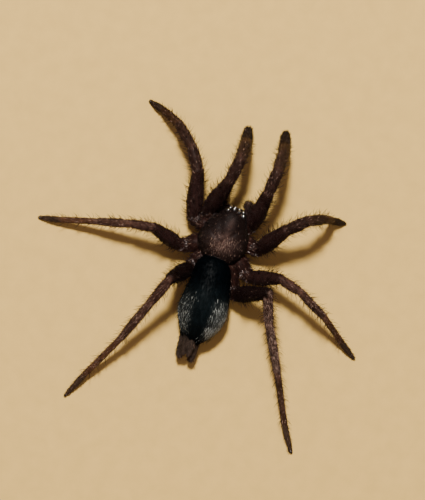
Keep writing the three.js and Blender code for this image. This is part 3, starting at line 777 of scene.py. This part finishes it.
def sternum_place(p):
    p = turned(p, -HEAD_TURN)
    dx = p[:, 0] / STERNUM["half_width"]
    dy = (p[:, 1] - STERNUM["y"]) / STERNUM["half_length"]
    dz = (p[:, 2] - STERNUM["z"]) / STERNUM["half_height"]
    r = np.sqrt(dx * dx + dy * dy + dz * dz)
    off = np.abs(r - 1) * STERNUM["half_height"] + np.where(dz < 0, 0, 1)
    return off, np.clip(dy * 0.5 + 0.5, 0, 1), np.arctan2(dz, dx)


def candidates(p):
    """Every part's number, and for each point its distance, place along, angle and lie on that part."""
    yield SHIELD, *shield_place(p), SHIELD_LIE + p * [SHIELD_FAN, 0, 0]
    yield ABDOMEN, *abdomen_place(p), ABDOMEN_LIE
    yield STERNUM_PLATE, *sternum_place(p), STERNUM_LIE
    for k, (_piece, _kind, a, b, *_rest) in enumerate(LIMBS):
        length = np.linalg.norm(b - a)
        axis = (b - a) / length
        t = np.clip((p - a) @ axis / length, 0, 1)
        away = p - a - (t * length)[:, None] * axis
        side, up = across_of(axis)
        gap = np.abs(np.linalg.norm(away, axis=1) - radius_at(k, t))
        yield k, gap, t, np.arctan2(away @ up, away @ side), axis


def places(p):
    """The part each point in millimetres lies on, how far along it, the angle round it, and its lie."""
    nearest = np.full(len(p), np.inf)
    part = np.full(len(p), SHIELD)
    far, angle, lie = np.zeros(len(p)), np.zeros(len(p)), np.zeros(p.shape)
    for code, off, along_it, round_it, way in candidates(p):
        near = off < nearest
        nearest[near] = off[near]
        part[near] = code
        far[near] = along_it[near]
        angle[near] = round_it[near]
        lie[near] = np.broadcast_to(way, p.shape)[near]
    return part, far, angle, lie


# Colours

def blend_tint(base, top, share):
    return base + (np.array(top) - base) * np.clip(share, 0, 1)[:, None]


def speckle(p, most, scale, edges):
    """A patchy share up to the most, made of a few waves that run in different directions."""
    rng = np.random.default_rng(HAIR_SEED)
    ways = rng.normal(0, 1, (SPECKLE_WAVES, 3)) * scale
    phases = rng.uniform(0, 2 * np.pi, SPECKLE_WAVES)
    return most * smooth(*edges, 0.5 + np.sin(p @ ways.T + phases).sum(1) / SPECKLE_WAVES)


def shield_down(p):
    """How much of the shield's pale down grows at each point."""
    x, y, z = turned(p, -HEAD_TURN).T
    patch = DOWN_PATCH["share"] * bell(x, *DOWN_PATCH["x"]) * bell(y, *DOWN_PATCH["y"])
    line = DOWN_LINE["share"] * bell(x, *DOWN_LINE["x"]) * window(y, DOWN_LINE)
    return (patch + line) * smooth(*DOWN_ABOVE, z)


def abdomen_silk(far, angle):
    """How much silver silk and painted sheen each point of the abdomen has: a lobe on either flank of its
    rear half, smaller on the left flank, where less sheen is painted.
    """
    side = np.where(np.cos(angle) > 0, SILK_SHEEN["left"], 1.0) * smooth(*SILK_SHEEN["up"], np.sin(angle))
    return side * window(far, SILK_SHEEN) * smooth(*SILK_SHEEN["out"], np.abs(np.cos(angle)))


def pale_share(p, part, far, angle, share):
    """The share of pale hairs at each point, over what the table of fur says: real pale hairs, with painted
    glints on the legs and painted sheen on the abdomen.
    """
    share = share + SHIN_GLINT_SHARE[kind_places(part)] * smooth(*SHIN_GLINT_UP, np.sin(angle))
    on = part == SHIELD
    share[on] += shield_down(p[on]) * speckle(p[on], **DOWN_HAIRS)
    on = part == ABDOMEN
    share[on] += abdomen_silk(far[on], angle[on]) * speckle(p[on] * SILK_SHEEN_GRAIN, **SILK_SHEEN_HAIRS)
    return share


def tints(p, part, far, angle):
    """The colour of skin and coat at each point, worked out from where it lies on the body."""
    colour = np.empty((len(p), 3))
    on = part == SHIELD
    colour[on] = blend_tint(COVER["shield"][TINT], SHIELD_DOWN, shield_down(p[on]))
    on = part == ABDOMEN
    # The black abdomen, with a painted sheen over its middle and rear and silver silk with painted sheen on
    # its flanks
    black = blend_tint(COVER["abdomen"][TINT], ABDOMEN_PAINTED_SHEEN, window(far[on], PAINTED_SHEEN_SPAN))
    black = blend_tint(black, ABDOMEN_SILK_SHEEN, abdomen_silk(far[on], angle[on]))
    colour[on] = blend_tint(black, ABDOMEN_BELOW, smooth(*BELOW, np.sin(angle[on])))
    colour[part == STERNUM_PLATE] = COVER["sternum"][TINT]
    for k, (piece, kind, *_rest) in enumerate(LIMBS):
        on = part == k
        base = np.array(COVER[kind][TINT]) * SHADES.get(piece, {}).get(kind, 1.0)
        if kind == "spinneret":
            base = blend_tint(base, ABDOMEN_BELOW, smooth(*SPINNERET_BASE, far[on]))
        # Paler starts of segments on their upper side: joint colour and painted highlight
        if kind in JOINT_PALE_AND_HIGHLIGHT_SHARE:
            most = JOINT_PALE_AND_HIGHLIGHT_SHARE[kind] * (1 if piece.endswith(REAR_PAIRS) else FRONT_JOINTS)
            pale = most * smooth(*JOINT_REACH, far[on]) * smooth(*JOINT_HIGHLIGHT_UP, np.sin(angle[on]))
            base = blend_tint(base, JOINT_PALE_AND_HIGHLIGHT, pale)
        colour[on] = base
    return colour


def add_tint(mesh, colour):
    layer = mesh.attributes.new("tint", "FLOAT_COLOR", "POINT")
    rgba = np.concatenate([colour, np.ones((len(colour), 1))], 1)
    layer.data.foreach_set("color", rgba.astype(np.float32).ravel())


# Materials

def new_material(name, roughness, specular, coat=0.0, coat_ior=1.5):
    """A material and its shader, with its constants set on the shader's sockets."""
    material = bpy.data.materials.new(name)
    material.use_nodes = True
    shader = material.node_tree.nodes["Principled BSDF"]
    constants = {
        "Roughness": roughness, "Specular IOR Level": specular, "Coat Weight": coat,
        "Coat Roughness": COAT_ROUGHNESS, "Coat IOR": coat_ior,
    }
    for name, value in constants.items():
        shader.inputs[name].default_value = value
    return material, shader


def link(material, source, target):
    material.node_tree.links.new(source, target)


def node(material, kind, **inputs):
    """A node whose inputs are set to values or joined to the sockets given."""
    made = material.node_tree.nodes.new(kind)
    for name, value in inputs.items():
        socket = made.inputs[name.replace("_", " ")]
        if isinstance(value, bpy.types.NodeSocket):
            link(material, value, socket)
        else:
            socket.default_value = value
    return made


def noise(material, place, scale, detail, roughness):
    inputs = {"Vector": place, "Scale": scale, "Detail": detail, "Roughness": roughness}
    return node(material, "ShaderNodeTexNoise", **inputs).outputs["Fac"]


def object_place(material):
    return node(material, "ShaderNodeTexCoord").outputs["Object"]


def add_bumps(material, shader, place, layers):
    """Bumps from noises, each (scale, height in metres)."""
    target = shader
    for scale, height in reversed(layers):
        relief = noise(material, place, scale, 3.0, 0.55)
        bump = node(material, "ShaderNodeBump", Strength=BUMP_STRENGTH, Distance=height, Height=relief)
        link(material, bump.outputs["Normal"], target.inputs["Normal"])
        target = bump


def tinted_material(name, roughness, specular, scale, low, high, bumps=()):
    """The tint that each point carries, times a noise between low and high."""
    material, shader = new_material(name, roughness, specular)
    tint = node(material, "ShaderNodeAttribute")
    tint.attribute_name = "tint"
    place = object_place(material)
    span = node(
        material, "ShaderNodeMapRange", Value=noise(material, place, scale, 4.0, 0.6),
        From_Min=NOISE_RANGE[0], From_Max=NOISE_RANGE[1], To_Min=low, To_Max=high,
    )
    mix = node(material, "ShaderNodeVectorMath")
    mix.operation = "SCALE"
    link(material, tint.outputs["Color"], mix.inputs[0])
    link(material, span.outputs["Result"], mix.inputs["Scale"])
    link(material, mix.outputs["Vector"], shader.inputs["Base Color"])
    add_bumps(material, shader, place, bumps)
    return material


def plain_material(
        name, colour, roughness, coat=0.0, coat_ior=1.5, specular=0.5, scale=9000.0, spread=0.3,
        bump=0.0000015):
    """A colour with a little noise in it and a fine bump."""
    material, shader = new_material(name, roughness, specular, coat, coat_ior)
    place = object_place(material)
    ramp = node(material, "ShaderNodeValToRGB", Fac=noise(material, place, scale, 3.0, 0.5))
    for element, position, share in zip(ramp.color_ramp.elements, NOISE_RANGE, (1 - spread, 1 + spread)):
        element.position = position
        element.color = (*[c * share for c in colour], 1)
    link(material, ramp.outputs["Color"], shader.inputs["Base Color"])
    add_bumps(material, shader, place, [(scale, bump)])
    return material


# The coat

def box_limits():
    low, high = [(np.array(corner) - SHIFT) / MM for corner in CAD_BOX]
    margin = (high - low) * TIP_SHARE
    return low - margin, high + margin


def fit_lengths(base, reach):
    """The share of each hair's reach that stays within the limits, to be used for its length."""
    low, high = box_limits()
    room = np.where(reach > 0, high - base, base - low)
    share = np.where(np.abs(reach) > NO_REACH, room / np.maximum(np.abs(reach), NO_REACH), 1)
    return np.clip(share.min(1), LEAST_REACH, 1)


def skin_samples(skin, density, rng):
    """Points spread evenly over the skin, so many to the square millimetre, with their normals."""
    mesh = skin.data
    mesh.calc_loop_triangles()
    tri = np.empty(len(mesh.loop_triangles) * 3, np.int32)
    mesh.loop_triangles.foreach_get("vertices", tri)
    tri = tri.reshape(-1, 3)
    co = (mesh_points(mesh).astype(float) - SHIFT) / MM
    normal = mesh_points(mesh, "normal").astype(float)
    a, b, c = co[tri[:, 0]], co[tri[:, 1]], co[tri[:, 2]]
    area = np.linalg.norm(np.cross(b - a, c - a), axis=1) / 2
    count = int(area.sum() * density)
    which = rng.choice(len(tri), count, p=area / area.sum())
    u, v = np.sqrt(rng.random(count)), rng.random(count)
    weight = np.stack([1 - u, u * (1 - v), u * v], 1)[:, :, None]
    return (co[tri[which]] * weight).sum(1), unit((normal[tri[which]] * weight).sum(1))


def scatter(skin, density, column, full, least_z, rng):
    """Roots of hairs, as thick as their row of the cover says, each with its part, place, lie and row."""
    p, n = skin_samples(skin, density, rng)
    part, far, angle, lie = places(p)
    spec = np.array([COVER[kind][column] for kind in KINDS])[kind_places(part)]
    keep = (rng.random(len(p)) < spec[:, 0] / full) & (p[:, 2] > least_z)
    return [v[keep] for v in (p, n, part, far, angle, lie, spec)]


def strip_place(across, turn):
    """Places on the OFBake map: so far across a piece's strips, and up by the angle round the limb."""
    return np.stack([np.broadcast_to(across, turn.shape), (turn / (2 * np.pi)) % 1.0], 1)


def add_hairs(coats, piece, roots, normals, lie, length, lift, bend, radius, colour, strip):
    """Keeps hairs for a coat piece; one value may stand for all of them."""
    rows = [np.broadcast_to(v, roots.shape) for v in (roots, normals, lie, colour)]
    rows += [np.broadcast_to(v, len(roots)) for v in (length, lift, bend, radius)]
    coats.setdefault(piece, []).append(rows + [strip])


def grow(coats, rng, draws, roots, colour, trims, width):
    """Draws the rest of each hair and gives it to the piece that covers its part."""
    p, n, part, far, angle, lie, spec = roots
    count = len(p)
    lie = unit(lie) + rng.normal(0, draws["stray"], (count, 3))
    length = spec[:, 1] * rng.uniform(*draws["length"], count) * trims[0]
    lift = rng.uniform(spec[:, 2], spec[:, 3]) * trims[1]
    bend = rng.uniform(*draws["bend"], count)
    radius = width * rng.uniform(*draws["radius"], count)
    owner = np.array(OWNERS, dtype="U24")[kind_places(part)]
    owner[(owner == "abdomen") & (far < 0.5)] = "abdomen_front"
    owner[owner == "abdomen"] = "abdomen_rear"
    for piece in np.unique(owner):
        on = owner == piece
        _values, strip = np.unique(part[on], return_inverse=True)
        across = (np.clip(far[on], *STRIP_ENDS) + strip) / (strip.max() + 1)
        columns = [v[on] for v in (p, n, lie, length, lift, bend, radius, colour)]
        add_hairs(coats, str(piece), *columns, strip_place(across, angle[on]))


def add_fur(coats, skin, rng):
    """Short lying hairs everywhere."""
    roots = scatter(skin, HAIR_DENSITY, FUR, 1, -1, rng)
    p, _n, part, far, angle, _lie, spec = roots
    count = len(p)
    colour = tints(p, part, far, angle) * np.exp(rng.normal(0, FUR_DRAWS["shade"], count))[:, None]
    # Pale hairs stand partly for painted glints on the legs and for painted sheen on the abdomen
    pale = rng.random(count) < pale_share(p, part, far, angle, spec[:, 5])
    least, more = FUR_DRAWS["glow"]
    glow = least + more * rng.random(count)[:, None] ** 2
    colour = np.where(pale[:, None], np.array(PALE_AND_GLINT_HAIR) * glow, colour)
    # Pale hairs on the abdomen are silver: partly real silk, partly painted sheen
    colour = np.where((pale & (part == ABDOMEN))[:, None], np.array(SILVER_SHEEN_HAIR) * glow, colour)
    trim = TRIM[kind_places(part)]
    width = spec[:, 4] * np.where(pale & (part >= 0), PALE_WIDTH, 1)
    grow(coats, rng, FUR_DRAWS, roots, colour, (trim, trim), width)


def add_standing(coats, skin, rng):
    """Long fine hairs that stand out from the rest and show along the edges."""
    most = max(row[STANDING][0] for row in COVER.values())
    roots = scatter(skin, most, STANDING, most, STANDING_LEAST_Z, rng)
    p, _n, part, far, angle, _lie, _spec = roots
    colour = tints(p, part, far, angle) * rng.uniform(*STANDING_DRAWS["shade"], len(p))[:, None]
    grow(coats, rng, STANDING_DRAWS, roots, colour, (np.sqrt(TRIM[kind_places(part)]), 1), 1)


def add_spines(coats):
    for k, (piece, kind, a, b, *_rest) in enumerate(LIMBS):
        places_on = SPINE_PLACES if piece.endswith(REAR_PAIRS) else FRONT_SPINE_PLACES
        if kind not in places_on:
            continue
        far, degrees = np.array(places_on[kind], float).T
        turn = np.radians(degrees)
        axis = unit(b - a)
        outward = around(turn, *across_of(axis))
        roots = a + (b - a) * far[:, None] + outward * radius_at(k, far)[:, None]
        strip = strip_place((far + SEGMENTS.index(kind)) / len(SEGMENTS), turn)
        shape = [SPINE[what] for what in ("length", "lift", "bend", "radius", "colour")]
        add_hairs(coats, piece, roots, outward, axis, *shape, strip)


def add_tuft(coats, rng, leg, looks, size, roots, normals, lie, strip):
    count = len(roots)
    shade = rng.uniform(*looks["shade"], count)[:, None] ** looks["power"]
    length = size * rng.uniform(*looks["length"], count)
    lift = rng.uniform(*looks["lift"], count)
    columns = (length, lift, looks["bend"], looks["radius"], np.array(looks["colour"]) * shade, strip)
    add_hairs(coats, "leg_{}_{}".format(*leg), roots, normals, lie, *columns)


def add_toe_tufts(coats, rng):
    middle, less = TOE_TUFT["dome"]
    for leg in LEGS:
        *_points, joint, toe = leg_points(*leg)
        axis = unit(toe - joint)
        count, size, width = TOE_TUFTS[leg[1]]
        turn = rng.uniform(0, 2 * np.pi, count)
        outward = around(turn, *across_of(axis))
        end = LEG_RADII[leg[1]][-1][2] - COAT_DEPTH
        spread = rng.uniform(*TOE_TUFT["spread"], count)[:, None]
        roots = toe + outward * end * spread + axis * end * (middle - less * spread)
        normals = unit(outward * spread * width + axis * TOE_TUFT["forward"])
        lie = axis + rng.normal(0, TOE_TUFT["stray"], (count, 3)) - TOE_TUFT["droop"]
        strip = strip_place(TOE_TUFT["strip"], turn)
        add_tuft(coats, rng, leg, TOE_TUFT, size, roots, normals, lie, strip)


def add_joint_tufts(coats, rng):
    # Pale hairs over the joints' upper side: painted glints of light off the joint skin
    count, reach = JOINT_GLINT_TUFT["count"], JOINT_GLINT_TUFT["reach"]
    for leg in LEGS:
        p = leg_points(*leg)
        for index in JOINT_GLINT_TUFT["joints"]:
            axis = unit(p[index + 1] - p[index])
            turn = np.radians(rng.normal(*JOINT_GLINT_TUFT["turn"], count))
            outward = around(turn, *across_of(axis))
            radius = LEG_RADII[leg[1]][index][0] + JOINT_GLINT_TUFT["proud"]
            roots = p[index] + rng.uniform(-reach, reach, count)[:, None] * axis + outward * radius
            lie = axis + rng.normal(0, JOINT_GLINT_TUFT["stray"], (count, 3))
            strip = strip_place((index + JOINT_GLINT_TUFT["strip"]) / len(SEGMENTS), turn)
            add_tuft(coats, rng, leg, JOINT_GLINT_TUFT, JOINT_GLINT_TUFT["size"], roots, outward, lie, strip)


def build_coat(piece, rows, material):
    """One coat piece from its hairs, with the tint of each and its place on the OFBake map."""
    columns = [np.concatenate(column) for column in zip(*rows)]
    roots, n, lie, colour, length, lift, bend, radius, strip = columns
    n = unit(n)
    lie = unit(lie - (lie * n).sum(1, keepdims=True) * n)
    first, second = np.radians(lift)[:, None], np.radians(lift - bend)[:, None]
    way = np.cos(first) * lie + np.sin(first) * n
    later = np.cos(second) * lie + np.sin(second) * n
    base = roots - n * ROOT_DEPTH
    length = length * fit_lengths(base, (way + later) / 2 * length[:, None])
    middle = base + way * (length * 0.5)[:, None]
    tip = middle + later * (length * 0.5)[:, None]
    side = unit(np.cross(way, n + 0.01))
    across = np.cross(side, way)
    ring = [around(turn, side, across) for turn in turns(3)]
    low = [base + r * radius[:, None] for r in ring]
    high = [middle + r * (radius * MIDDLE_RADIUS)[:, None] for r in ring]
    verts = np.stack(low + high + [tip], 1)
    verts[:, :, 2] = np.maximum(verts[:, :, 2], TIP_FLOOR)
    faces = HAIR_FACES[None] + (np.arange(len(roots)) * HAIR_CORNERS)[:, None, None]
    obj = mesh_object(f"coat_{piece}", verts.reshape(-1, 3), [faces.reshape(-1, 3)])
    add_tint(obj.data, np.repeat(colour, HAIR_CORNERS, 0))
    corners = np.stack([np.cos(turns(3)), np.sin(turns(3))], 1)
    patch = np.concatenate([corners, corners * MIDDLE_PATCH, np.zeros((1, 2))])
    uv = np.clip(strip, PATCH, 1 - PATCH)[:, None] + patch * PATCH / 2
    loops = np.empty(len(obj.data.loops), np.int32)
    obj.data.loops.foreach_get("vertex_index", loops)
    layer = obj.data.uv_layers.new(name="OFBake")
    layer.data.foreach_set("uv", uv.reshape(-1, 2)[loops].astype(np.float32).ravel())
    finish_piece(obj, material)
    print("coat piece", piece, len(obj.data.polygons))


def build_coats(skin):
    rng = np.random.default_rng(HAIR_SEED)
    coats = {}
    add_fur(coats, skin, rng)
    add_standing(coats, skin, rng)
    add_spines(coats)
    add_toe_tufts(coats, rng)
    add_joint_tufts(coats, rng)
    hair, dark = [tinted_material(name, *TINTED[name]) for name in ("hair", "dark_hair")]
    for piece in sorted(coats):
        build_coat(piece, coats[piece], dark if piece.startswith("abdomen") else hair)


# Eyes, fangs, claws and spigots

def ball(centre, axis, radius, rings=18, sides=28, flat=0.9):
    lat = np.linspace(0.08, np.pi - 0.08, rings)[:, None, None]
    ring = around(turns(sides), *across_of(axis))
    return closed_grid(centre + radius * (np.sin(lat) * ring - flat * np.cos(lat) * unit(axis)))


def horn(points, radii, rings=14, sides=12):
    """A smooth curved horn through three points, with the radius given at each."""
    a, b, c = points
    t = np.linspace(0, 1, rings)[:, None]
    control = 2 * b - (a + c) / 2
    middle = (1 - t) ** 2 * a + 2 * t * (1 - t) * control + t ** 2 * c
    way = unit(np.gradient(middle, axis=0))
    side, _up = across_of(c - a)
    first = unit(side - (way * side).sum(1, keepdims=True) * way)
    second = np.cross(way, first)
    radius = along([(0, radii[0]), (0.5, radii[1]), (1, radii[2])], t[:, 0])[:, None, None]
    ring = around(turns(sides), first[:, None], second[:, None])
    return closed_grid(middle[:, None, :] + radius * ring)


def build_eyes(dark, pale):
    for kind, (_bearing, _height, radius) in EYES.items():
        for side_name, side in SIDES.items():
            centre, way = eye_centre(kind, side)
            shape = ball(centre - way * radius * LENS_SUNK, way, radius * LENS_SCALE)
            lens = mesh_object(f"lens_{kind}_{side_name}", *shape)
            material = dark if kind == "anterior_median" else pale
            finish_piece(lens, material, [f"eye_{kind}_{side_name}"])


def build_fangs(material):
    *places_of, radius = FANG
    for side_name, side in SIDES.items():
        points = [on_front(p, side) for p in places_of]
        fang = mesh_object(f"hook_{side_name}", *horn(points, (radius, radius * FANG_TAPER, FANG_POINT)))
        finish_piece(fang, material, [f"fang_{side_name}"])


def build_claws(material):
    for side_name, pair in LEGS:
        p = leg_points(side_name, pair)
        way = p[-1] - p[-2]
        bearing = math.degrees(math.atan2(way[0], -way[1]))
        pieces = []
        for side in (-1, 1):
            aim = heading(bearing + side * CLAW["spread"], -CLAW["droop"])
            points = []
            for share, rise in CLAW_BEND:
                points.append(p[-1] + aim * (CLAW["start"] + CLAW["length"] * share) + [0, 0, rise])
            pieces.append(horn(points, CLAW["radii"], sides=8))
        finish_piece(joined(f"claws_{side_name}_{pair}", pieces), material)


def build_spigots(material):
    """The row of spigots at the end of each front spinneret."""
    pieces = []
    end = SPINNERETS["anterior"][2][1] - COAT_DEPTH
    for side in (1, -1):
        a, b = spinneret_ends("anterior", side)
        axis = unit(b - a)
        for off in around(turns(SPIGOTS["count"]), *across_of(axis)):
            root = b + off * end * SPIGOTS["circle"] + axis * end * SPIGOTS["out"]
            tip = root + axis * SPIGOTS["length"]
            pieces.append(horn([root, (root + tip) / 2, tip], SPIGOTS["radii"], 6, 8))
    finish_piece(joined("spigots", pieces), material)


skin = build_skin()
points = (mesh_points(skin.data).astype(float) - SHIFT) / MM
part, far, angle, _lie = places(points)
add_tint(skin.data, tints(points, part, far, angle))
cuticle = tinted_material("cuticle", *TINTED["cuticle"])
finish_piece(skin, cuticle, [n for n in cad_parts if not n.startswith(("eye_", "fang_"))])
print("skin faces", len(skin.data.polygons))
build_coats(skin)
plain = {name: plain_material(name, *looks) for name, looks in PLAIN.items()}
build_eyes(plain["eye_dark"], plain["eye_pale"])
build_fangs(plain["horn"])
build_claws(plain["claw"])
build_spigots(plain["spigot"])

# Camera
tilt = math.radians(BODY_TILT)
image_up = np.array([math.sin(tilt), -math.cos(tilt)])
image_right = np.array([-math.cos(tilt), -math.sin(tilt)])
middle = (IMAGE_SIZE[0] / 2 - WAIST_PIXEL[0]) * image_right - (IMAGE_SIZE[1] / 2 - WAIST_PIXEL[1]) * image_up
middle = middle * MM_PER_PIXEL * MM + SHIFT[:2]
camera_data = bpy.data.cameras.new("camera")
camera_data.sensor_fit = "VERTICAL"
camera_data.sensor_height = SENSOR
camera_data.lens = SENSOR * CAMERA_HEIGHT / (IMAGE_SIZE[1] * MM_PER_PIXEL)
camera_data.clip_start = 0.001
camera = placed("camera", camera_data)
camera.location = (middle[0], middle[1], CAMERA_HEIGHT * MM)
camera.rotation_euler = (0, 0, math.radians(180 + BODY_TILT))
bpy.context.scene.camera = camera


# Light

def add_lamp(name, bearing, height, distance, size, watts, colour):
    b, h = math.radians(bearing), math.radians(height)
    flat = math.cos(b) * image_up + math.sin(b) * image_right
    data = bpy.data.lights.new(name, "AREA")
    data.energy = watts
    data.size = size
    data.color = colour
    lamp = placed(name, data)
    aim = Vector((SHIFT[0], SHIFT[1], LAMP_AIM_Z))
    lamp.location = aim + Vector((flat[0] * math.cos(h), flat[1] * math.cos(h), math.sin(h))) * distance
    lamp.rotation_euler = (aim - lamp.location).to_track_quat("-Z", "Y").to_euler()


for name, values in LAMPS.items():
    add_lamp(name, *values)
world = bpy.data.worlds.new("world")
world.use_nodes = True
world.node_tree.nodes["Background"].inputs["Color"].default_value = (*SKY_COLOUR, 1)
world.node_tree.nodes["Background"].inputs["Strength"].default_value = SKY_STRENGTH
bpy.context.scene.world = world

# Floor
corners = FLOOR_HALF * np.array([[-1, -1, 0], [1, -1, 0], [1, 1, 0], [-1, 1, 0]])
floor = mesh_object("floor", corners, [np.array([[0, 1, 2, 3]])], True)
floor.data.materials.append(plain["floor"])
